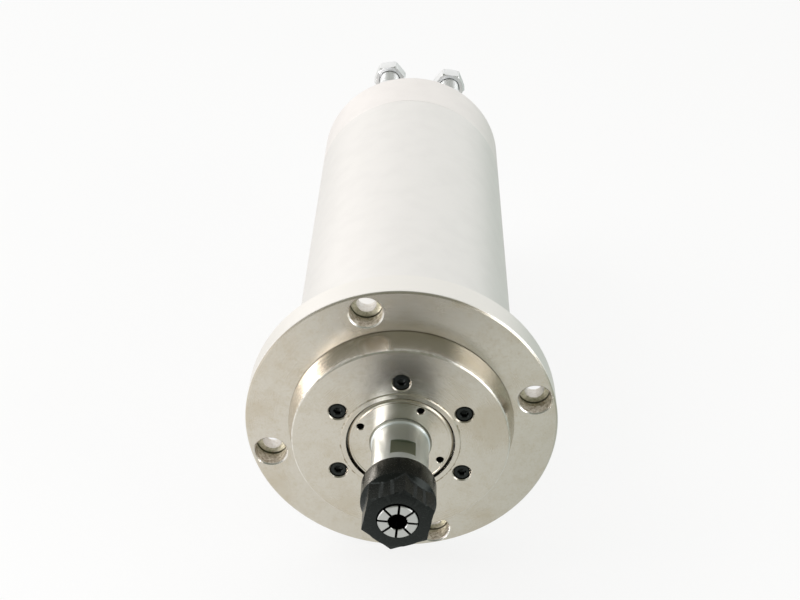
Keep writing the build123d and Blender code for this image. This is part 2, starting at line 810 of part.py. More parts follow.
PARTS = {
    "flange_housing": flange_housing(),
    "front_cover": front_cover(),
    "front_cover_screws": front_cover_screws(),
    "outer_tube": outer_tube(),
    "water_jacket": water_jacket(),
    "front_jacket_seal": seal(TUBE_BORE_R, 8),
    "rear_jacket_seal": seal(TUBE_BORE_R, 164),
    "stator_core": stator_core(),
    "stator_winding": stator_winding(),
    "shaft": shaft(),
    "lock_ring": lock_ring(),
    "rotor_core": rotor_core(),
    "rotor_cage": rotor_cage(),
    "front_balance_ring": balance_ring(STACK_Y[0] - 9.2),
    "rear_balance_ring": balance_ring(STACK_Y[1] + 5.2),
    "rear_locknut": rear_locknut(),
    "collet": collet(),
    "collet_nut": collet_nut(),
    "rear_bearing_housing": rear_bearing_housing(),
    "bearing_retainer": bearing_retainer(),
    "retainer_screws": retainer_screws(),
    "preload_spring": preload_spring(),
    "rear_cap": rear_cap(),
    "rear_cap_screws": rear_cap_screws(),
    "power_socket_shell": power_socket_shell(),
    "power_socket_insert": power_socket_insert(),
    "power_socket_pins": power_socket_pins(),
    "power_socket_nut": power_socket_nut(),
    "lead_harness": lead_harness(),
}

for end, bearing, starts in (
    ("front", FRONT_BEARING, FRONT_BEARINGS_Y),
    ("rear", REAR_BEARING, REAR_BEARINGS_Y),
):
    for number, start_y in enumerate(starts, 1):
        name = f"{end}_bearing_{number}"
        PARTS[f"{name}_outer_ring"] = bearing_outer_ring(bearing, start_y)
        PARTS[f"{name}_inner_ring"] = bearing_inner_ring(bearing, start_y)
        PARTS[f"{name}_balls"] = bearing_ball_set(bearing, start_y)
    gap_y = (starts[0] + bearing[2], starts[1])
    PARTS[f"{end}_outer_spacer"] = ring(bearing[4] + bearing[3], bearing[1] - 0.05, *gap_y)
    PARTS[f"{end}_inner_spacer"] = ring(bearing[0] + 0.02, bearing[4] - bearing[3], *gap_y)

for port, port_angle in (("inlet", INLET_ANGLE), ("outlet", OUTLET_ANGLE)):
    PARTS[f"{port}_fitting"] = hose_fitting(port_angle)
    PARTS[f"{port}_clamp_ring"] = clamp_ring(port_angle)
    PARTS[f"{port}_union_nut"] = union_nut(port_angle)
    PARTS[f"{port}_transfer_tube"] = transfer_tube(port_angle)

os.makedirs("parts", exist_ok=True)
for name, shape in PARTS.items():
    if isinstance(shape, list):
        shape = Compound(children=shape)
    export_step(shape, f"parts/{name}.step")
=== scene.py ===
"""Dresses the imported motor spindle: turned, ground, plated and blackened metal, cut threads and sockets.

Everything is in the frame's metres. Piece outlines are written in millimetres, as (radius, y) pairs along
the spindle axis Y, and angles round the axis are measured from +X towards +Z.
"""

import math

import bmesh
import bpy
import numpy as np
from bpy.props import FloatProperty, FloatVectorProperty, IntProperty, PointerProperty
from mathutils import Euler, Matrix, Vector


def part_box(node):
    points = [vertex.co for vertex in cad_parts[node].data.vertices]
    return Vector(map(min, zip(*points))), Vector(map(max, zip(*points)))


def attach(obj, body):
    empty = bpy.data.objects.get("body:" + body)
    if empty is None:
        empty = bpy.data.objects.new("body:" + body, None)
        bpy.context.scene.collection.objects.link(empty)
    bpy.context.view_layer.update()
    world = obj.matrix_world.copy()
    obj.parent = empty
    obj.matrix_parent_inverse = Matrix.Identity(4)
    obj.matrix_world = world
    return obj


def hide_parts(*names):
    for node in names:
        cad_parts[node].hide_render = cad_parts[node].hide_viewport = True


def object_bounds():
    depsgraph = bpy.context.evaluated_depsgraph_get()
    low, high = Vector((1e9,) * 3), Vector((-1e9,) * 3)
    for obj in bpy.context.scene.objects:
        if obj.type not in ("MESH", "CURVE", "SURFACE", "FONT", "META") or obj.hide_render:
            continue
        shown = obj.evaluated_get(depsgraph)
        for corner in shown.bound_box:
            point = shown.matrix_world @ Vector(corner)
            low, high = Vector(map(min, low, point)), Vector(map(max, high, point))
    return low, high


bl_info = {
    "name": "Motor Spindle",
    "version": (1, 0, 0),
    "blender": (4, 5, 0),
    "location": "View3D > Sidebar > Spindle",
    "description": "Builds the visible pieces and finishes of a collet-chuck motor spindle",
    "category": "Object",
}

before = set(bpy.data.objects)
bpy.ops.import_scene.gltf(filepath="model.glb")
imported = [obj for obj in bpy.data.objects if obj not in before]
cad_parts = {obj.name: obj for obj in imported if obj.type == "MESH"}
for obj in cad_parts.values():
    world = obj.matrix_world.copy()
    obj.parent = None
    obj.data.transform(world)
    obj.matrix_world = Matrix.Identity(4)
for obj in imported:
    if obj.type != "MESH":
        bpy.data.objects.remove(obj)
CAD_BOX = [[float(c) for c in corner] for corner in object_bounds()]

MM = 0.001
TURN = 2 * math.pi

# Sizes of the construction that finishes and pieces follow, in millimetres. A circle of four holes is its
# radius and the angle of its first hole, in degrees.
RIM_R = 53.25
BOLT_CIRCLE = (46.5, 15.0)
HOLE_R = 3.3
COUNTERBORE_R, COUNTERBORE_DEPTH = 5.5, 6.2
COVER_EDGE_R, COVER_LIP_R = 36.65, 20.2
SPANNER_CIRCLE, SPANNER_HOLE_R = (14.9, 64.0), 1.25
NOSE_R, NOSE_THREAD_END_Y = 9.5, -43.4
FLATS_Y = (-37.9, -31.0)
NUT_HEX_Y, NUT_COLLAR_Y = -53.7, -52.0
COLLET_BORE_R = 3.0
HOSE_THREAD_R, HOSE_NUT_THREAD_R = 4.6, 4.65
SOCKET_THREAD_R, SOCKET_THREAD_PITCH = 7.9, 1.0
LONGEST_SCREW_THREAD = 18.0

# Edges where the faces turn by more than this are shaded sharp.
SHARP_EDGE = math.radians(32.0)


def node_ends(node):
    """Lowest and highest corner of a CAD node, in millimetres."""
    low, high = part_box(node)
    return np.array(low) / MM, np.array(high) / MM


def node_axis(node):
    """(x, z) of the middle of a CAD node, in millimetres."""
    low, high = node_ends(node)
    return (low[0] + high[0]) / 2, (low[2] + high[2]) / 2


# ------------------------------------------------------------------ settings


def length_prop(label, what, millimetres):
    """A length setting, in metres like the frame, from its default in millimetres."""
    return FloatProperty(
        name=label, description=what, default=millimetres * MM, precision=5, subtype="DISTANCE", unit="LENGTH"
    )


def angle_prop(label, what, degrees):
    """An angle setting, in radians."""
    return FloatProperty(
        name=label, description=what, default=math.radians(degrees), precision=3, subtype="ANGLE", unit="ROTATION"
    )


def colour_prop(label, what, rgb):
    """A base colour setting."""
    return FloatVectorProperty(name=label, description=what, default=rgb, size=3, min=0, max=1, subtype="COLOR")


def power_prop(label, what, watts):
    """A lamp's power setting, in watts."""
    return FloatProperty(name=label, description=what, default=watts, min=0, subtype="POWER", unit="POWER")


class SpindleSizes(bpy.types.PropertyGroup):
    """Sizes of the fine detail that the pieces add to the construction."""

    nose_radius: length_prop("Nose radius", "Outside of the shaft nose", NOSE_R)
    nose_flats: length_prop("Nose flats", "Width over the shaft's wrench flats", 17.0)
    flats_angle: angle_prop("Flats angle", "Where the first wrench flat faces, from +X towards +Z", 83.0)
    thread_pitch: length_prop("Thread pitch", "Pitch of the chuck thread", 1.0)
    thread_depth: length_prop("Thread depth", "Depth of the chuck thread", 0.55)
    nut_radius: length_prop("Nut radius", "Outside of the nut's round collar", 12.1)
    nut_flats: length_prop("Nut flats", "Width over the nut's hexagon", 21.0)
    nut_angle: angle_prop("Nut angle", "Where a corner of the nut points, from +X towards +Z", 80.0)
    knurl_count: IntProperty(name="Knurl count", description="Grooves round a cap screw's head", default=36, min=3)
    hose_flats: length_prop("Hose flats", "Width over the hexagons of the fittings and union nuts", 13.0)
    hose_thread_pitch: length_prop("Hose thread pitch", "Pitch of the union nut's thread", 1.0)


class SpindleColours(bpy.types.PropertyGroup):
    """Base colours of the finishes."""

    nickel: colour_prop("Turned nickel", "Flange, cover and lock ring", (0.668, 0.632, 0.566))
    stain: colour_prop("Nickel stain", "Warm tarnish on the turned faces", (0.50, 0.42, 0.29))
    rim: colour_prop("Flange rim", "Rim of the flange", (0.86, 0.84, 0.81))
    tube: colour_prop("Tube", "Satin body tube and water jacket", (0.855, 0.84, 0.825))
    cap: colour_prop("Cap", "Rear cap", (0.905, 0.875, 0.86))
    ground: colour_prop("Ground steel", "Shaft and hard inner parts", (0.80, 0.84, 0.84))
    # Wrench flats: milled steel painted dark, a painted reflection.
    flat: colour_prop("Wrench flats", "Milled flats on the shaft", (0.29, 0.31, 0.24))
    black: colour_prop("Black oxide", "Nut and screws", (0.024, 0.027, 0.026))
    collet: colour_prop("Collet", "Ground collet steel", (0.60, 0.61, 0.60))
    plated: colour_prop("Plating", "Hose fittings and socket", (0.86, 0.87, 0.88))
    brass: colour_prop("Brass", "Clamp rings, tubes and pins", (0.72, 0.53, 0.25))
    copper: colour_prop("Copper", "Varnished windings", (0.55, 0.23, 0.09))
    lamination: colour_prop("Lamination", "Stator and rotor stacks", (0.34, 0.35, 0.38))
    rubber: colour_prop("Rubber", "Seals and insulating parts", (0.025, 0.025, 0.026))
    sleeve: colour_prop("Sleeve", "Woven lead sleeve", (0.70, 0.66, 0.55))


class StageSettings(bpy.types.PropertyGroup):
    """Camera, floor and light."""

    lens: FloatProperty(
        name="Lens", description="Focal length on a 36 mm sensor", default=63.28, subtype="DISTANCE_CAMERA",
        unit="CAMERA",
    )
    heading: angle_prop("Heading", "Camera's turn to the right of +Y", -0.879)
    pitch: angle_prop("Pitch", "Camera's tilt below the horizon", 31.195)
    roll: angle_prop("Roll", "Camera's turn about its own axis", 0.80)
    place: FloatVectorProperty(
        name="Camera place", description="Camera position", default=(0.00497, -0.39843, 0.28478), precision=5,
        subtype="TRANSLATION", unit="LENGTH",
    )
    sky: FloatProperty(name="Sky", description="Strength of the surrounding light", default=1.02, min=0)
    key: power_prop("Key light", "Power of the soft light on the left", 3.0)
    fill: power_prop("Fill light", "Power of the soft light on the right", 1.74)
    low: power_prop("Low light", "Power of the small light at the front left", 0.85)
    floor: colour_prop("Floor", "Floor colour", (0.93, 0.93, 0.93))


# ------------------------------------------------------------------ shader maths


class Signal:
    """A number or colour on a shader socket. Arithmetic on it adds the Math nodes."""

    def __init__(self, finish, socket):
        self.finish = finish
        self.socket = socket

    def math(self, operation, *others):
        """Adds one Math node, with this signal as its first input."""
        inputs = {i: value for i, value in enumerate((self, *others))}
        return self.finish.node("ShaderNodeMath", {"operation": operation}, inputs)

    def __add__(self, other):
        return self.math("ADD", other)

    def __sub__(self, other):
        return self.math("SUBTRACT", other)

    def __mul__(self, other):
        return self.math("MULTIPLY", other)

    def __pow__(self, other):
        return self.math("POWER", other)

    def __rsub__(self, other):
        return self.finish.node("ShaderNodeMath", {"operation": "SUBTRACT"}, {0: other, 1: self})

    __radd__ = __add__
    __rmul__ = __mul__

    def steps(self, low, high):
        """0 at low, 1 at high, smooth between and level beyond them. low may be the greater of the two."""
        settings = {"interpolation_type": "SMOOTHSTEP"}
        return self.finish.node("ShaderNodeMapRange", settings, {"Value": self, "From Min": low, "From Max": high})


class Graph:
    """Adds nodes to one node tree."""

    def __init__(self, tree):
        self.tree = tree

    def feed(self, socket, value):
        """Links a Signal to a socket, or sets a constant on it."""
        if isinstance(value, Signal):
            self.tree.links.new(value.socket, socket)
        else:
            socket.default_value = value

    def node(self, kind, settings, inputs, output=0):
        """Adds a node: its settings first, then the values or links of its sockets."""
        node = self.tree.nodes.new(kind)
        for key, value in settings.items():
            setattr(node, key, value)
        for key, value in inputs.items():
            self.feed(node.inputs[key], value)
        return Signal(self, node.outputs[output])

    def parts(self, vector):
        """The x, y and z of a vector."""
        return [self.node("ShaderNodeSeparateXYZ", {}, {0: vector}, axis) for axis in range(3)]

    def vector(self, x, y, z):
        """A vector from three numbers or Signals."""
        return self.node("ShaderNodeCombineXYZ", {}, {0: x, 1: y, 2: z})

    def noise(self, vector, scale, detail=2.0, roughness=0.5):
        """Noise of 0 to 1 at a point, with scale features per unit."""
        inputs = {"Vector": vector, "Scale": scale, "Detail": detail, "Roughness": roughness}
        return self.node("ShaderNodeTexNoise", {}, inputs)

    def mix(self, share, first, second):
        """Colour between two colours."""
        first, second = [(*c, 1.0) if isinstance(c, tuple) else c for c in (first, second)]
        return self.node("ShaderNodeMix", {"data_type": "RGBA"}, {0: share, 6: first, 7: second}, 2)


def seen_rays(graph):
    """1 for the rays that show a surface directly, in metal or through glass."""
    kinds = ("Camera", "Glossy", "Transmission")
    return {kind: graph.node("ShaderNodeLightPath", {}, {}, f"Is {kind} Ray") for kind in kinds}


class Finish(Graph):
    """One material: a Principled shader, with the object's own coordinates in millimetres."""

    def __init__(self, name, base, **constants):
        self.material = bpy.data.materials.new(name)
        self.material.use_nodes = True
        super().__init__(self.material.node_tree)
        self.shader = self.tree.nodes["Principled BSDF"]
        self.set("Base Color", (*base, 1.0))
        for socket, value in constants.items():
            self.set(socket.replace("_", " ").title(), value)

    def set(self, socket, value):
        """Puts a constant or a Signal on one of the shader's sockets."""
        self.feed(self.shader.inputs[socket], value)

    def place(self, centre=(0.0, 0.0)):
        """Object coordinates in millimetres, with the given (x, z) as the axis."""
        here = self.node("ShaderNodeTexCoord", {}, {}, "Object")
        inputs = {"Vector": here, "Location": (-centre[0], 0.0, -centre[1]), "Scale": (1 / MM,) * 3}
        return self.parts(self.node("ShaderNodeMapping", {}, inputs))

    def off_axes(self, x, z, pitch_radius, first_angle):
        """Distance to the nearest of four axes, a quarter turn apart, on a circle of pitch_radius.
        In axes turned by first_angle, u and v, it is the length of (max(|u|, |v|) - pitch_radius, min(|u|, |v|))."""
        cos, sin = math.cos(math.radians(first_angle)), math.sin(math.radians(first_angle))
        u, v = (x * cos + z * sin).math("ABSOLUTE"), (z * cos - x * sin).math("ABSOLUTE")
        along, across = u.math("MAXIMUM", v) - pitch_radius, u.math("MINIMUM", v)
        return (along * along + across * across) ** 0.5

    def bump(self, height, depth_mm):
        """Relief from a height of 0 to 1, as deep as depth_mm."""
        inputs = {"Height": height, "Distance": depth_mm * MM, "Strength": 1.0}
        self.set("Normal", self.node("ShaderNodeBump", {}, inputs))


def turning(finish, fine, centre=(0.0, 0.0)):
    """Tool marks of a lathe: noise along the outline only, so that it runs in rings round the axis.
    The value depends on the distance from the axis and on y, in marks per millimetre."""
    x, y, z = finish.place(centre)
    radius = (x * x + z * z) ** 0.5
    rings = finish.noise(finish.vector(radius * fine, y * fine, 0.0), 1.0, 3.0, 0.6)
    return x, y, z, radius, rings


def turned_metal(name, colour, stain, roughness, fine=9.0, depth=0.014):
    """Turned, plated metal: rings from the tool, soft warm stains and small specks. Returns the finish with
    its base colour and roughness still open, and the place signals that masks are made from."""
    finish = Finish(name, colour, metallic=1.0)
    x, y, z, radius, rings = turning(finish, fine)
    spot = finish.vector(x, y, z)
    cloud = finish.noise(spot, 0.045, 3.0).steps(0.46, 0.72)
    patch = finish.noise(spot, 0.22, 4.0, 0.65).steps(0.42, 0.68)
    speck = finish.noise(spot, 1.6, 3.0, 0.7).steps(0.50, 0.70)
    base = finish.mix(cloud * 0.34 + patch * 0.16 + speck * 0.24 + rings * 0.08, tuple(colour), tuple(stain))
    finish.bump(rings * 0.6 + speck * 0.4, depth)
    return finish, (x, y, z, radius), base, rings * 0.10 + cloud * 0.05 + roughness


def flange_metal(name, colour, stain, rim, roughness, face_y):
    """Turned flange with a paler rim. Its screw holes have a painted highlight on the chamfer at their mouth, mottled
    walls, a yellower ledge and painted shade in the corner at the foot of each counterbore."""
    finish, (x, y, z, radius), base, rough = turned_metal(name, colour, stain, roughness)
    outside = radius.steps(RIM_R - 0.25, RIM_R - 0.05)
    base = finish.mix(outside, base, tuple(rim))
    off = finish.off_axes(x, z, *BOLT_CIRCLE)
    floor_y = face_y + COUNTERBORE_DEPTH
    beyond_hole = off.steps(HOLE_R + 0.02, HOLE_R + 0.10)
    inside = 1.0 - off.steps(COUNTERBORE_R + 0.02, COUNTERBORE_R + 0.10)
    drilled = inside * y.steps(face_y + 0.3, face_y + 0.5) * (1.0 - y.steps(-0.10, -0.05))
    ledge = y.steps(floor_y - 0.10, floor_y - 0.02) * beyond_hole
    # Painted shade: the corner at the foot of each counterbore is darkened.
    corner = off.steps(COUNTERBORE_R - 0.50, COUNTERBORE_R - 0.15) * y.steps(floor_y - 0.8, floor_y - 0.1)
    # Painted highlight: the chamfer round each counterbore's mouth is made nearly white.
    chamfer = off.steps(COUNTERBORE_R - 0.02, COUNTERBORE_R + 0.05)
    chamfer = chamfer * (1.0 - off.steps(COUNTERBORE_R + 0.50, COUNTERBORE_R + 0.58))
    chamfer = chamfer * (1.0 - y.steps(face_y + 0.5, face_y + 0.6))
    grain = finish.noise(finish.vector(x, y, z), 0.9, 5.0, 0.75).steps(0.38, 0.66)
    through = finish.mix(grain, (0.86, 0.83, 0.80), (0.72, 0.68, 0.62))
    wall = finish.mix(grain, (0.92, 0.87, 0.80), (0.42, 0.35, 0.26))
    wall = finish.mix(beyond_hole, through, wall)
    wall = finish.mix(ledge, wall, finish.mix(grain, (0.88, 0.86, 0.72), (0.52, 0.51, 0.38)))
    # Painted shade in the counterbore's corner.
    wall = finish.mix(corner * 0.9, wall, (0.08, 0.08, 0.05))
    # Painted highlight on the chamfer.
    base = finish.mix(chamfer * 0.7, base, (0.97, 0.96, 0.94))
    finish.set("Base Color", finish.mix(drilled, base, wall))
    finish.set("Roughness", rough + drilled * 0.18 + outside * 0.15)
    finish.set("Metallic", 1.0 - drilled * 0.30)
    return finish.material


def cover_metal(name, colour, stain, roughness):
    """Turned front cover with a broken bright band at its edge, partly rubbing and partly a painted highlight,
    and a broken brown darkening along the foot of its lip.
    """
    finish, (x, y, z, radius), base, rough = turned_metal(name, colour, stain, roughness)
    spot = finish.vector(x, y, z)
    # Wear and painted highlight: a broken, nearly white band along the cover's edge.
    worn_and_painted_highlight = radius.steps(COVER_EDGE_R - 0.5, COVER_EDGE_R - 0.2)
    worn_and_painted_highlight = worn_and_painted_highlight * (1.0 - radius.steps(COVER_EDGE_R + 0.1, COVER_EDGE_R + 0.3))
    base = finish.mix(worn_and_painted_highlight * finish.noise(spot, 0.6, 3.0).steps(0.30, 0.60) * 0.7, base, (0.90, 0.89, 0.86))
    # A broken brown darkening along the foot of the lip.
    foot = 1.0 - (radius - (COVER_LIP_R + 0.05)).math("ABSOLUTE").steps(0.05, 0.35)
    foot = foot * finish.noise(spot, 0.7, 4.0).steps(0.50, 0.62)
    finish.set("Base Color", finish.mix(foot * 0.8, base, (0.26, 0.21, 0.12)))
    finish.set("Roughness", rough)
    return finish.material


def lock_ring_metal(name, colour, stain, roughness, face_y):
    """Turned lock ring whose spanner holes are painted dark inside, a painted shade."""
    finish, (x, y, z, _), base, rough = turned_metal(name, colour, stain, roughness)
    off = finish.off_axes(x, z, *SPANNER_CIRCLE)
    # Painted shade: the spanner holes are darkened inside.
    drilled = (1.0 - off.steps(SPANNER_HOLE_R + 0.02, SPANNER_HOLE_R + 0.08)) * y.steps(face_y + 0.2, face_y + 0.6)
    finish.set("Base Color", finish.mix(drilled, base, (0.05, 0.045, 0.035)))
    finish.set("Roughness", rough + drilled * 0.3)
    return finish.material


def ground_metal(name, colour, roughness, fine=9.0, depth=0.002, centre=(0.0, 0.0), tone=0.06):
    """Ground metal: very fine rings and faint clouding of the colour."""
    finish = Finish(name, colour, metallic=1.0)
    x, y, z, _, rings = turning(finish, fine, centre)
    cloud = finish.noise(finish.vector(x, y, z), 0.12, 3.0)
    dark = tuple(c * (1 - 2.5 * tone) for c in colour)
    finish.set("Base Color", finish.mix(cloud.steps(0.35, 0.75) * 0.5 + rings * 0.25, tuple(colour), dark))
    finish.set("Roughness", roughness + rings * 0.08)
    finish.bump(rings, depth)
    return finish.material


def shaft_metal(name, colour, painted_dark_flats_colour, roughness):
    """Cylindrically ground steel, its wrench flats milled and painted dark, a painted reflection."""
    finish = Finish(name, colour, metallic=1.0)
    x, y, z, radius, rings = turning(finish, 9.0)
    cloud = finish.noise(finish.vector(x, y, z), 0.12, 3.0).steps(0.35, 0.75)
    # Painted reflection: the milled wrench flats are made dark.
    flat = 1.0 - radius.steps(NOSE_R - 0.08, NOSE_R - 0.03)
    flat = flat * y.steps(FLATS_Y[0] - 0.05, FLATS_Y[0]) * (1.0 - y.steps(FLATS_Y[1] - 0.02, FLATS_Y[1] + 0.03))
    base = finish.mix(cloud * 0.3 + rings * 0.25, tuple(colour), tuple(c * 0.8 for c in colour))
    finish.set("Base Color", finish.mix(flat, base, painted_dark_flats_colour))
    finish.set("Roughness", rings * 0.10 + roughness)
    finish.bump(rings, 0.055)
    return finish.material


def collet_metal(name, colour, face_y):
    """Ground collet: only the front face shows the steel; its bore and all that lies behind the face are painted dark,
    a painted shade.
    """
    finish = Finish(name, colour, metallic=1.0)
    _, y, _, radius, rings = turning(finish, 6.0)
    # The front face keeps the steel's colour; the bore and all behind it get painted shade.
    unshaded_face = radius.steps(COLLET_BORE_R + 0.02, COLLET_BORE_R + 0.10)
    unshaded_face = unshaded_face * (1.0 - y.steps(face_y + 0.15, face_y + 0.7))
    base = finish.mix(rings * 0.3, tuple(colour), tuple(c * 0.85 for c in colour))
    finish.set("Base Color", finish.mix(unshaded_face, (0.030, 0.024, 0.018), base))
    finish.set("Roughness", rings * 0.10 + 0.30)
    finish.bump(rings, 0.004)
    return finish.material


def blackened_metal(name, colour, roughness=0.30):
    """Black oxide on steel: nearly black, a little mottled, rubbed paler at fine scratches."""
    finish = Finish(name, colour, metallic=0.9)
    x, y, z = finish.place()
    spot = finish.vector(x, y, z)
    mottle = finish.noise(spot, 1.6, 4.0, 0.65)
    scratch = finish.noise(finish.vector(x * 0.6, y * 6.0, z * 0.6), 1.5, 2.0).steps(0.70, 0.80)
    pale = tuple(min(1.0, c * 2.6) for c in colour)
    finish.set("Base Color", finish.mix(mottle.steps(0.45, 0.8) * 0.3 + scratch * 0.4, tuple(colour), pale))
    finish.set("Roughness", roughness + mottle * 0.12)
    finish.bump(mottle, 0.002)
    return finish.material


def laminated_metal(name, colour):
    """Stacked laminations: thin dark lines across the axis, with a varnished sheen."""
    finish = Finish(name, colour, metallic=0.8)
    x, y, z = finish.place()
    sheets = (y * 2.0).math("FRACT").steps(0.0, 0.35)
    mottle = finish.noise(finish.vector(x, y, z), 0.5, 3.0)
    finish.set("Base Color", finish.mix(sheets * 0.6 + mottle * 0.3, tuple(c * 0.45 for c in colour), tuple(colour)))
    finish.set("Roughness", 0.35 + mottle * 0.2)
    finish.bump(sheets, 0.03)
    return finish.material


def wound_wire(name, colour):
    """Varnished magnet wire: strands running round the end turns, under clear varnish."""
    finish = Finish(name, colour, metallic=0.7)
    x, y, z, radius, _ = turning(finish, 1.0)
    wander = finish.noise(finish.vector(x, y, z), 0.25, 2.0) * 2.5
    strands = ((radius + y + wander) * 7.0).math("SINE") * 0.5 + 0.5
    finish.set("Base Color", finish.mix(strands * 0.8, tuple(c * 0.4 for c in colour), tuple(colour)))
    finish.set("Roughness", 0.28 + strands * 0.15)
    finish.set("Coat Weight", 0.4)
    finish.bump(strands, 0.25)
    return finish.material


def moulded(name, colour, roughness=0.5, depth=0.02):
    """Moulded rubber or plastic with a fine matt grain."""
    finish = Finish(name, colour, metallic=0.0)
    x, y, z = finish.place()
    grain = finish.noise(finish.vector(x, y, z), 6.0, 3.0)
    finish.set("Base Color", finish.mix(grain * 0.6, tuple(colour), tuple(min(1.0, c * 1.7) for c in colour)))
    finish.set("Roughness", roughness + grain * 0.15)
    finish.bump(grain, depth)
    return finish.material


def woven_sleeve(name, colour, centre):
    """Braided glass sleeve: two crossing sets of diagonal threads."""
    finish = Finish(name, colour, metallic=0.0, roughness=0.8)
    x, y, z = finish.place(centre)
    around = finish.node("ShaderNodeMath", {"operation": "ARCTAN2"}, {0: z, 1: x}) * 12.0
    braid = (around + y * 5.0).math("SINE") * (around - y * 5.0).math("SINE") * 0.5 + 0.5
    finish.set("Base Color", finish.mix(braid, tuple(c * 0.55 for c in colour), tuple(colour)))
    finish.bump(braid, 0.12)
    return finish.material


# ------------------------------------------------------------------ surfaces


def straight(radius, ys):
    """Outline rows at one radius, at each of the given y."""
    return np.stack([np.full_like(ys, radius), ys], axis=1)


def span(profile, first, last):
    """A column that is True for an outline's rows from first up to, but not including, last."""
    rows = np.arange(len(profile))[:, None]
    return (rows >= first) & (rows < last)


def spun(profile, around, shape):
    """Surface of revolution: point (i, j) is the outline's point i turned to angle j.
    shape(angle, y, radius) gives the radius there, so that flats, threads and knurls follow the surface."""
    angle = np.linspace(0, TURN, around, endpoint=False)[None, :]
    radius = profile[:, :1] * np.ones_like(angle)
    y = profile[:, 1:] * np.ones_like(angle)
    radius = shape(angle, y, radius)
    return np.stack([radius * np.cos(angle), y, radius * np.sin(angle)], axis=-1)


def hexagon_radius(angle, flats, corner):
    """Distance to a hexagon's side: half the width over flats divided by the cosine from the side's middle."""
    sixth = TURN / 6
    off = np.mod(angle - corner, sixth) - sixth / 2
    return flats / 2 / np.cos(off)


def flat_radius(angle, width, facing):
    """Distance to the nearer of two opposite flats, endless beside them."""
    cosine = np.abs(np.cos(angle - facing))
    return width / 2 / np.maximum(cosine, 1e-6)


def thread_cut(angle, y, pitch, depth):
    """Depth below the crest of a right-hand V thread: a triangle wave along y that shifts one pitch a turn,
    cut off flat at crest and root."""
    phase = np.mod(y / pitch + angle / TURN, 1.0)
    wave = np.abs(phase - 0.5) * 2
    return depth * np.clip(1.25 * wave - 0.125, 0, 1)


def knurl_cut(angle, count, depth):
    """Depth of straight knurling: a cosine round the head."""
    return depth * (0.5 - 0.5 * np.cos(angle * count))


def mesh_piece(name, grids, centre=(0.0, 0.0)):
    """One object from closed grids of points in millimetres, each wrapped both ways.
    A grid's row that lies on the axis makes a pole, and its doubled points are merged."""
    verts, faces = [], []
    base = 0
    for grid in grids:
        rows, cols = grid.shape[:2]
        i, j = np.meshgrid(np.arange(rows), np.arange(cols), indexing="ij")
        down, right = (i + 1) % rows, (j + 1) % cols
        quads = np.stack([i * cols + j, down * cols + j, down * cols + right, i * cols + right], axis=-1)
        verts.append((grid + np.array([centre[0], 0.0, centre[1]])).reshape(-1, 3) * MM)
        faces.append(quads.reshape(-1, 4) + base)
        base += rows * cols
    mesh = bpy.data.meshes.new(name)
    mesh.from_pydata(np.vstack(verts), [], np.vstack(faces).tolist())
    tidy_mesh(mesh)
    piece = bpy.data.objects.new(name, mesh)
    bpy.context.scene.collection.objects.link(piece)
    return piece


def tidy_mesh(mesh):
    """Merges doubled points, turns faces outwards and marks edges sharper than SHARP_EDGE."""
    work = bmesh.new()
    work.from_mesh(mesh)
    bmesh.ops.remove_doubles(work, verts=work.verts, dist=1e-7)
    bmesh.ops.dissolve_degenerate(work, edges=work.edges, dist=1e-7)
    bmesh.ops.recalc_face_normals(work, faces=work.faces)
    work.to_mesh(mesh)
    work.free()
    mesh.shade_smooth()
    mesh.set_sharp_from_angle(angle=SHARP_EDGE)


def finish_piece(piece, body, slot, material, *replaced):
    """Gives a piece its material and its body, and hides the CAD nodes it stands for. slot is not used."""
    piece.data.materials.append(material)
    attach(piece, body)
    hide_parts(*replaced)


def dress(material, *nodes):
    """Puts a material on CAD nodes as they are."""
    for name in nodes:
        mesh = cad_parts[name].data
        mesh.materials.clear()
        mesh.materials.append(material)


def socket_head_screw(head_radius, head_height, thread_radius, length, y_head, way, key_flats, pitch, knurls):
    """Cap screw as one closed grid: hexagon socket with a pointed floor, knurled head, shank with a thread
    along its end. way is +1 when the shank points towards the rear."""
    bevel = 0.10 * head_radius
    mouth = key_flats / 2 / math.cos(math.radians(30)) + 0.12
    depth = 0.55 * head_height
    head = np.array([
        (0.0, depth + 0.25 * key_flats),
        (0.5 * key_flats, depth),
        (0.5 * key_flats, 0.25),
        (mouth, 0.0),
        (head_radius - bevel, 0.0),
        (head_radius, bevel),
        (head_radius, head_height - 0.1),
        (head_radius - 0.1, head_height),
        (thread_radius, head_height),
    ])
    threaded = min(length, LONGEST_SCREW_THREAD)
    plain_end = head_height + length - threaded
    rows = np.linspace(plain_end, head_height + length, int(4 * threaded / pitch))
    profile = np.vstack([head, straight(thread_radius, rows), [(0.0, head_height + length)]])
    profile = profile * np.array([1.0, way]) + np.array([0.0, y_head])
    start = y_head + way * plain_end

    is_socket, is_grip = span(profile, 1, 3), span(profile, 5, 7)
    is_thread = span(profile, len(head), len(profile) - 1)

    def shape(angle, y, radius):
        radius = np.where(is_socket, hexagon_radius(angle, key_flats, 0.0), radius)
        radius = np.where(is_grip, radius - knurl_cut(angle, knurls, 0.09), radius)
        fade = np.clip(np.abs(y - start) / 0.5, 0, 1)
        return np.where(is_thread, radius - thread_cut(angle, y, pitch, 0.56 * pitch) * fade, radius)

    return spun(profile, 144, shape)


# ------------------------------------------------------------------ operators


def colour_of(context, name):
    """A colour setting as a plain tuple."""
    return tuple(getattr(context.scene.spindle_colours, name))


def size_of(context, name):
    """A length setting in millimetres."""
    return getattr(context.scene.spindle_sizes, name) / MM


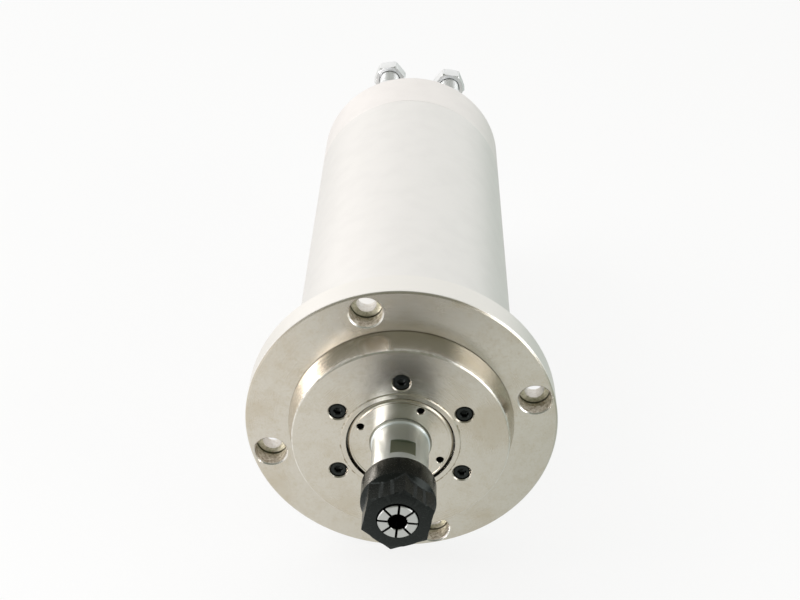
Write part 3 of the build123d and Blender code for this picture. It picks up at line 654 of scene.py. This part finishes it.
class SPINDLE_OT_housing(bpy.types.Operator):
    """Finishes the flange, front cover, body tube and rear cap"""

    bl_idname = "spindle.housing"
    bl_label = "Housing"

    def execute(self, context):
        nickel, stain = colour_of(context, "nickel"), colour_of(context, "stain")
        face_y = node_ends("flange_housing")[0][1]
        rim = colour_of(context, "rim")
        dress(flange_metal("flange_finish", nickel, stain, rim, 0.20, face_y), "flange_housing")
        dress(cover_metal("cover_finish", nickel, stain, 0.20), "front_cover")
        tube = ground_metal("tube_finish", colour_of(context, "tube"), 0.42, fine=4.0, tone=0.02)
        dress(tube, "outer_tube")
        dress(ground_metal("cap_finish", colour_of(context, "cap"), 0.46, fine=3.0, tone=0.02), "rear_cap")
        return {"FINISHED"}


class SPINDLE_OT_shaft(bpy.types.Operator):
    """Builds the shaft with its cut thread and wrench flats, and finishes the lock ring"""

    bl_idname = "spindle.shaft"
    bl_label = "Shaft and lock ring"

    def execute(self, context):
        pitch, depth = size_of(context, "thread_pitch"), size_of(context, "thread_depth")
        flats, facing = size_of(context, "nose_flats"), context.scene.spindle_sizes.flats_angle
        low, high = node_ends("shaft")
        nose_y, rear_y = low[1], high[1]
        seat, rotor_seat, collar, rear_seat = 9.98, 11.98, 13.2, 7.48
        nose = size_of(context, "nose_radius")
        threaded = np.linspace(nose_y + 0.5, NOSE_THREAD_END_Y, 120)
        front = [(4.8, -8.8), (4.8, -33.4), (5.5, -33.4), (7.99, nose_y), (nose - 0.75, nose_y)]
        middle = [
            (nose, NOSE_THREAD_END_Y + 0.3), (nose, FLATS_Y[0] - 0.02), (nose, FLATS_Y[0] + 0.02),
            (nose, FLATS_Y[1] - 0.02), (nose, FLATS_Y[1] + 0.02), (nose, -22.25), (seat - 0.08, -22.0), (seat, -21.9),
            (seat, 18), (collar, 18), (collar, 24), (rotor_seat, 24), (rotor_seat, 138), (9.6, 140), (9.6, 146),
            (rear_seat, 146), (rear_seat, rear_y - 0.8), (rear_seat - 0.8, rear_y), (1.5, rear_y), (1.5, 168),
            (0.0, 167), (0.0, -6.0),
        ]
        profile = np.vstack([front, straight(nose, threaded), middle])
        thread_rows_end = len(front) + len(threaded)
        is_thread = span(profile, len(front), thread_rows_end)
        is_flat = span(profile, thread_rows_end + 2, thread_rows_end + 4)

        def shape(angle, y, radius):
            fade = np.clip((NOSE_THREAD_END_Y - y) / 0.8, 0, 1)
            cut = thread_cut(angle, y, pitch, depth) * fade
            lead = np.clip((nose_y + 1.1 - y) / 0.6, 0, 1) * 0.6
            radius = np.where(is_thread, radius - np.maximum(cut, lead), radius)
            return np.where(is_flat, np.minimum(radius, flat_radius(angle, flats, facing)), radius)

        piece = mesh_piece("ground_shaft", [spun(profile, 360, shape)])
        steel = shaft_metal("shaft_finish", colour_of(context, "ground"), colour_of(context, "flat"), 0.27)
        finish_piece(piece, "shaft", "ground_steel", steel, "shaft")
        nickel, stain = colour_of(context, "nickel"), colour_of(context, "stain")
        ring_y = node_ends("lock_ring")[0][1]
        dress(lock_ring_metal("lock_ring_finish", nickel, stain, 0.17, ring_y), "lock_ring")
        return {"FINISHED"}


class SPINDLE_OT_chuck(bpy.types.Operator):
    """Builds the clamping nut and finishes the collet"""

    bl_idname = "spindle.chuck"
    bl_label = "Collet and nut"

    def execute(self, context):
        pitch, corner = size_of(context, "thread_pitch"), context.scene.spindle_sizes.nut_angle
        flats, outer = size_of(context, "nut_flats"), size_of(context, "nut_radius")
        low, high = node_ends("collet_nut")
        front, back = low[1], high[1]
        bore = size_of(context, "nose_radius") + 0.05
        chamfer = (outer - 10.6) * math.tan(math.radians(12))
        threaded = np.linspace(back - 0.6, NUT_COLLAR_Y + 0.2, 110)
        run_out = np.linspace(NUT_HEX_Y, NUT_COLLAR_Y, 8)
        face = np.array([(6.75, front), (10.5, front), (10.6, front + 0.02), (outer, front + chamfer)])
        ledge = straight(outer, run_out)
        rear = np.array([
            (outer, NUT_COLLAR_Y + 0.05), (outer, back - 0.5), (outer - 0.15, back - 0.15), (outer - 0.5, back),
            (bore + 0.5, back),
        ])
        inside = np.array([
            (bore, NUT_COLLAR_Y + 0.1), (8.96, NUT_COLLAR_Y), (8.96, -55.3), (8.56, -55.3), (6.76, -58.41),
            (6.05, -58.5), (6.05, -59.68), (6.45, -59.68), (6.45, front + 0.35),
        ])
        profile = np.vstack([face, ledge, rear, straight(bore, threaded), inside])
        start = len(face) + len(ledge) + len(rear)
        is_hex = span(profile, 1, len(face) + len(ledge))
        is_thread = span(profile, start, start + len(threaded))

        def shape(angle, y, radius):
            side = hexagon_radius(angle, flats, corner)
            cone = flats / 2 + (outer - flats / 2) * (y - NUT_HEX_Y) / (NUT_COLLAR_Y - NUT_HEX_Y)
            side = np.maximum(side, np.where(y > NUT_HEX_Y, cone, 0.0))
            radius = np.where(is_hex, np.minimum(radius, side), radius)
            groove = thread_cut(angle, y + 0.5 * pitch, pitch, 0.5)
            return np.where(is_thread, radius + groove, radius)

        piece = mesh_piece("clamping_nut", [spun(profile, 360, shape)])
        black = blackened_metal("nut_finish", colour_of(context, "black"), 0.20)
        finish_piece(piece, "collet_nut", "black_oxide", black, "collet_nut")
        collet_y = node_ends("collet")[0][1]
        dress(collet_metal("collet_finish", colour_of(context, "collet"), collet_y), "collet")
        return {"FINISHED"}


class SPINDLE_OT_screws(bpy.types.Operator):
    """Builds the front cover's and the rear cap's socket screws"""

    bl_idname = "spindle.screws"
    bl_label = "Screws"

    def execute(self, context):
        black = blackened_metal("screw_finish", colour_of(context, "black"), 0.34)
        # Name, node, count, first angle, circle's radius, way, (head radius and height, thread radius, length),
        # width over the key's flats, thread pitch.
        groups = (
            ("cover_screws", "front_cover_screws", 6, 90.0, 24.2, 1, (2.75, 3.0, 1.45, 12.0), 2.5, 0.5),
            ("cap_screws", "rear_cap_screws", 4, 84.0, 31.5, -1, (3.5, 4.0, 1.95, 36.0), 3.0, 0.7),
        )
        for name, node, count, first, pitch_radius, way, sizes, key, pitch in groups:
            low, high = node_ends(node)
            y_head = low[1] if way > 0 else high[1]
            knurls = context.scene.spindle_sizes.knurl_count
            screw = socket_head_screw(*sizes, y_head, way, key, pitch, knurls)
            grids = []
            for number in range(count):
                angle = math.radians(first + 360.0 * number / count)
                grids.append(screw + np.array([pitch_radius * math.cos(angle), 0.0, pitch_radius * math.sin(angle)]))
            piece = mesh_piece(name, grids)
            finish_piece(piece, "housing", "black_oxide", black, node)
        return {"FINISHED"}


class SPINDLE_OT_fittings(bpy.types.Operator):
    """Builds the two hose fittings with their union nuts"""

    bl_idname = "spindle.fittings"
    bl_label = "Hose fittings"

    def execute(self, context):
        pitch, flats = size_of(context, "hose_thread_pitch"), size_of(context, "hose_flats")
        cap_rear = node_ends("rear_cap")[1][1]
        brass = ground_metal("clamp_ring_finish", colour_of(context, "brass"), 0.3)
        for port, turn in (("inlet", 9.0), ("outlet", -8.0)):
            centre = node_axis(f"{port}_transfer_tube")
            corner = math.atan2(centre[1], centre[0])
            plated = ground_metal(f"{port}_plating", colour_of(context, "plated"), 0.34, 5.0, 0.002, centre)
            piece = mesh_piece(f"{port}_connector", [self.connector(cap_rear, flats, corner, pitch)], centre)
            finish_piece(piece, "housing", "plated_fitting", plated, f"{port}_fitting")
            nut = mesh_piece(f"{port}_nut", [self.union_nut(cap_rear, flats, math.radians(turn), pitch)], centre)
            finish_piece(nut, f"{port}_union_nut", "plated_fitting", plated, f"{port}_union_nut")
            dress(brass, f"{port}_clamp_ring", f"{port}_transfer_tube")
        return {"FINISHED"}

    def connector(self, y0, flats, corner, pitch):
        """Threaded end, bevelled hexagon, long thread for the nut, and ringed hose barb."""
        threaded = np.linspace(y0 + 7.6, y0 + 25.3, 190)
        start = np.array([
            (2.2, y0 - 6), (4.85, y0 - 6), (4.85, y0), (6.6, y0), (7.5, y0 + 0.4), (7.5, y0 + 5.4), (6.6, y0 + 6),
            (4.0, y0 + 6.05), (3.9, y0 + 6.2), (3.9, y0 + 7.2), (4.1, y0 + 7.5),
        ])
        barb = np.array([
            (3.0, y0 + 26), (3.0, y0 + 27.4), (3.4, y0 + 27.5), (3.0, y0 + 30), (3.4, y0 + 30.1),
            (2.7, y0 + 33.8), (2.6, y0 + 34), (2.2, y0 + 34),
        ])
        profile = np.vstack([start, straight(HOSE_THREAD_R, threaded), barb])
        is_hex, is_thread = span(profile, 3, 7), span(profile, len(start), len(start) + len(threaded))

        def shape(angle, y, radius):
            radius = np.where(is_hex, np.minimum(radius, hexagon_radius(angle, flats, corner)), radius)
            return np.where(is_thread, radius - thread_cut(angle, y, pitch, 0.45), radius)

        return spun(profile, 180, shape)

    def union_nut(self, y0, flats, corner, pitch):
        """Hexagonal nut, chamfered at both ends, threaded inside."""
        front, rear = y0 + 22, y0 + 29.5
        threaded = np.linspace(front + 5.8, front + 0.4, 60)
        outside = np.array([
            (5.0, front), (6.55, front), (6.8, front + 0.1), (7.5, front + 0.5), (7.5, rear - 0.8), (6.9, rear - 0.25),
            (6.4, rear), (4.3, rear), (4.0, rear - 0.3), (4.0, front + 6), (4.6, front + 6),
        ])
        profile = np.vstack([outside, straight(HOSE_NUT_THREAD_R, threaded)])
        is_hex, is_thread = span(profile, 1, 7), span(profile, len(outside), len(profile))

        def shape(angle, y, radius):
            radius = np.where(is_hex, np.minimum(radius, hexagon_radius(angle, flats, corner)), radius)
            return np.where(is_thread, radius + thread_cut(angle, y + 0.5 * pitch, pitch, 0.4), radius)

        return spun(profile, 180, shape)


class SPINDLE_OT_socket(bpy.types.Operator):
    """Builds the power socket's threaded shell and finishes its insert and pins"""

    bl_idname = "spindle.socket"
    bl_label = "Power socket"

    def execute(self, context):
        cap_rear = node_ends("rear_cap")[1][1]
        centre = node_axis("power_socket_insert")
        threaded = np.linspace(cap_rear + 3.0, cap_rear + 13.2, 110)
        start = np.array([
            (6.6, cap_rear - 11), (7.9, cap_rear - 11), (7.9, cap_rear), (9.4, cap_rear), (9.6, cap_rear + 0.2),
            (9.6, cap_rear + 2.2), (9.3, cap_rear + 2.5), (7.5, cap_rear + 2.6),
        ])
        end = np.array([(7.4, cap_rear + 14), (6.8, cap_rear + 14), (6.6, cap_rear + 13.8)])
        profile = np.vstack([start, straight(SOCKET_THREAD_R, threaded), end])
        is_thread = span(profile, len(start), len(start) + len(threaded))

        def shape(angle, y, radius):
            return np.where(is_thread, radius - thread_cut(angle, y, SOCKET_THREAD_PITCH, 0.5), radius)

        plated = ground_metal("socket_plating", colour_of(context, "plated"), 0.25, 5.0, 0.002, centre)
        piece = mesh_piece("socket_shell", [spun(profile, 180, shape)], centre)
        finish_piece(piece, "housing", "plated_fitting", plated, "power_socket_shell")
        dress(moulded("insert_finish", colour_of(context, "rubber")), "power_socket_insert")
        dress(ground_metal("pin_finish", colour_of(context, "brass"), 0.2), "power_socket_pins")
        dress(ground_metal("socket_nut_finish", colour_of(context, "plated"), 0.3), "power_socket_nut")
        return {"FINISHED"}


class SPINDLE_OT_inside(bpy.types.Operator):
    """Finishes the parts inside the housing"""

    bl_idname = "spindle.inside"
    bl_label = "Inner parts"

    def execute(self, context):
        names = sorted(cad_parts)
        hard = ground_metal("bearing_finish", colour_of(context, "ground"), 0.12)
        dress(hard, *[n for n in names if "_bearing_1" in n or "_bearing_2" in n or n.endswith("_spacer")])
        plain = ground_metal("inner_steel_finish", colour_of(context, "ground"), 0.32, fine=4.0)
        dress(plain, "rear_bearing_housing", "bearing_retainer", "rear_locknut")
        black = blackened_metal("inner_black_finish", colour_of(context, "black"))
        dress(black, "retainer_screws", "preload_spring")
        dress(ground_metal("jacket_finish", colour_of(context, "tube"), 0.35, fine=2.5), "water_jacket", "rotor_cage")
        dress(laminated_metal("lamination_finish", colour_of(context, "lamination")), "stator_core", "rotor_core")
        dress(wound_wire("winding_finish", colour_of(context, "copper")), "stator_winding")
        dress(moulded("seal_finish", colour_of(context, "rubber"), 0.4, 0.01), "front_jacket_seal", "rear_jacket_seal")
        balance = ground_metal("balance_finish", colour_of(context, "brass"), 0.3)
        dress(balance, "front_balance_ring", "rear_balance_ring")
        sleeve = woven_sleeve("sleeve_finish", colour_of(context, "sleeve"), node_axis("lead_harness"))
        dress(sleeve, "lead_harness")
        return {"FINISHED"}


class SPINDLE_OT_stage(bpy.types.Operator):
    """Sets up the floor, the surrounding light, the lamps and the camera"""

    bl_idname = "spindle.stage"
    bl_label = "Stage"

    def execute(self, context):
        settings = context.scene.spindle_stage
        self.floor(settings)
        self.surroundings(context, settings)
        self.lamps(settings)
        self.camera(context, settings)
        context.scene.view_settings.view_transform = "Standard"
        return {"FINISHED"}

    def floor(self, settings):
        """Flat floor under the flange's rim, nearly white to the camera, with a soft shadow. Only in the metal's
        reflections is it painted: darker and greener to the right, with painted shade at the near right and in front
        of the nose."""
        side, near, far = 1.6, -0.9, 1.6
        level = CAD_BOX[0][2] - 0.0004
        corners = [(-side, near, level), (side, near, level), (side, far, level), (-side, far, level)]
        mesh = bpy.data.meshes.new("floor")
        mesh.from_pydata(corners, [], [(0, 1, 2, 3)])
        floor = bpy.data.objects.new("floor", mesh)
        bpy.context.scene.collection.objects.link(floor)
        paint = Finish("floor_paint", settings.floor, roughness=0.9)
        x, y, _ = paint.parts(paint.node("ShaderNodeTexCoord", {}, {}, "Object"))
        # Painted shade in front of the nose, seen only in reflections.
        shade = (1.0 - x.math("ABSOLUTE").steps(0.015, 0.065)) * y.steps(-0.140, -0.165)
        # Painted reflection: darker and greener towards the right.
        tone = paint.mix(x.steps(-0.13, 0.28), (0.99, 0.98, 0.95), (0.34, 0.42, 0.37))
        # Painted shade at the near right.
        tone = paint.mix(x.steps(0.0, 0.10) * y.steps(-0.15, -0.06) * 0.3, tone, (0.40, 0.44, 0.40))
        tone = paint.mix(shade, tone, (0.14, 0.14, 0.12))
        rays = seen_rays(paint)
        # Only glossy rays see these painted tones.
        tone = paint.mix(rays["Glossy"], (1.0, 1.0, 1.0), tone)
        white = paint.node("ShaderNodeEmission", {}, {"Color": tone, "Strength": 1.0})
        body = Signal(paint, paint.shader.outputs[0])
        share = (rays["Camera"] + rays["Glossy"] + rays["Transmission"]) * 0.78
        mixed = paint.node("ShaderNodeMixShader", {}, {0: share, 1: body, 2: white})
        paint.feed(paint.tree.nodes["Material Output"].inputs["Surface"], mixed)
        mesh.materials.append(paint.material)

    def surroundings(self, context, settings):
        """Nearly white background for the camera. To every other ray the room is paler on the left, a little
        darker overhead, and dark above and behind the camera. Camera, metal and glass see it at strength 1."""
        world = bpy.data.worlds.new("studio")
        context.scene.world = world
        world.use_nodes = True
        room = Graph(world.node_tree)
        direction = room.node("ShaderNodeTexCoord", {}, {}, "Generated")
        x, y, z = room.parts(direction)
        tint = room.mix(x.steps(-0.8, 0.8), (1.16, 1.14, 1.11), (0.885, 0.90, 0.875))
        tint = room.mix(z.steps(0.1, 1.0) * 0.4, tint, (0.75, 0.75, 0.74))
        dark = y.steps(-0.18, -0.42) * z.steps(0.02, 0.10)
        tint = room.mix(dark, tint, (0.21, 0.22, 0.18))
        rays = seen_rays(room)
        colour = room.mix(rays["Camera"], tint, (0.975, 0.975, 0.97))
        seen = rays["Camera"] + rays["Glossy"] + rays["Transmission"]
        background = world.node_tree.nodes["Background"]
        room.feed(background.inputs["Color"], colour)
        room.feed(background.inputs["Strength"], seen * (1.0 - settings.sky) + settings.sky)

    def lamps(self, settings):
        """A large soft light high on the left, a weaker one on the right, and a low one at the front left,
        all aimed at the origin."""
        white, rose = (1.0, 1.0, 1.0), (1.0, 0.97, 1.0)
        plan = (
            ("key", (-0.90, 0.15, 0.70), (0.70, 0.70), settings.key, white),
            ("fill", (0.77, -0.34, 0.32), (0.50, 0.50), settings.fill, white),
            ("low", (-0.31, -0.35, 0.00), (0.20, 0.10), settings.low, rose),
        )
        for name, place, size, power, tint in plan:
            data = bpy.data.lights.new(name, "AREA")
            data.shape = "RECTANGLE"
            data.size, data.size_y = size
            data.energy = power
            data.color = tint
            lamp = bpy.data.objects.new(name, data)
            lamp.location = place
            lamp.rotation_euler = (-Vector(place)).to_track_quat("-Z", "Y").to_euler()
            bpy.context.scene.collection.objects.link(lamp)

    def camera(self, context, settings):
        """Camera above the nose, looking along the axis and down."""
        data = bpy.data.cameras.new("camera")
        data.sensor_width = 36.0
        data.lens = settings.lens
        data.clip_start = 0.01
        camera = bpy.data.objects.new("camera", data)
        level = Euler((TURN / 4 - settings.pitch, 0.0, -settings.heading), "XYZ").to_matrix()
        roll = Euler((0.0, 0.0, settings.roll), "XYZ").to_matrix()
        camera.rotation_euler = (level @ roll).to_euler()
        camera.location = settings.place
        context.scene.collection.objects.link(camera)
        context.scene.camera = camera


OPERATORS = (
    SPINDLE_OT_housing,
    SPINDLE_OT_shaft,
    SPINDLE_OT_chuck,
    SPINDLE_OT_screws,
    SPINDLE_OT_fittings,
    SPINDLE_OT_socket,
    SPINDLE_OT_inside,
    SPINDLE_OT_stage,
)


class SPINDLE_PT_panel(bpy.types.Panel):
    """Lists the spindle's pieces in the sidebar"""

    bl_idname = "SPINDLE_PT_panel"
    bl_label = "Motor Spindle"
    bl_space_type = "VIEW_3D"
    bl_region_type = "UI"
    bl_category = "Spindle"

    def draw(self, context):
        for operator in OPERATORS:
            self.layout.operator(operator.bl_idname)
        for group in (context.scene.spindle_sizes, context.scene.spindle_colours, context.scene.spindle_stage):
            for name in group.__annotations__:
                self.layout.prop(group, name)


GROUPS = (
    ("spindle_sizes", SpindleSizes),
    ("spindle_colours", SpindleColours),
    ("spindle_stage", StageSettings),
)


def register():
    for name, group in GROUPS:
        bpy.utils.register_class(group)
        setattr(bpy.types.Scene, name, PointerProperty(type=group))
    for operator in OPERATORS:
        bpy.utils.register_class(operator)
    bpy.utils.register_class(SPINDLE_PT_panel)


def unregister():
    bpy.utils.unregister_class(SPINDLE_PT_panel)
    for operator in reversed(OPERATORS):
        bpy.utils.unregister_class(operator)
    for name, group in reversed(GROUPS):
        delattr(bpy.types.Scene, name)
        bpy.utils.unregister_class(group)


def main():
    register()
    for operator in OPERATORS:
        group, name = operator.bl_idname.split(".")
        getattr(getattr(bpy.ops, group), name)()


if __name__ == "__main__":
    main()
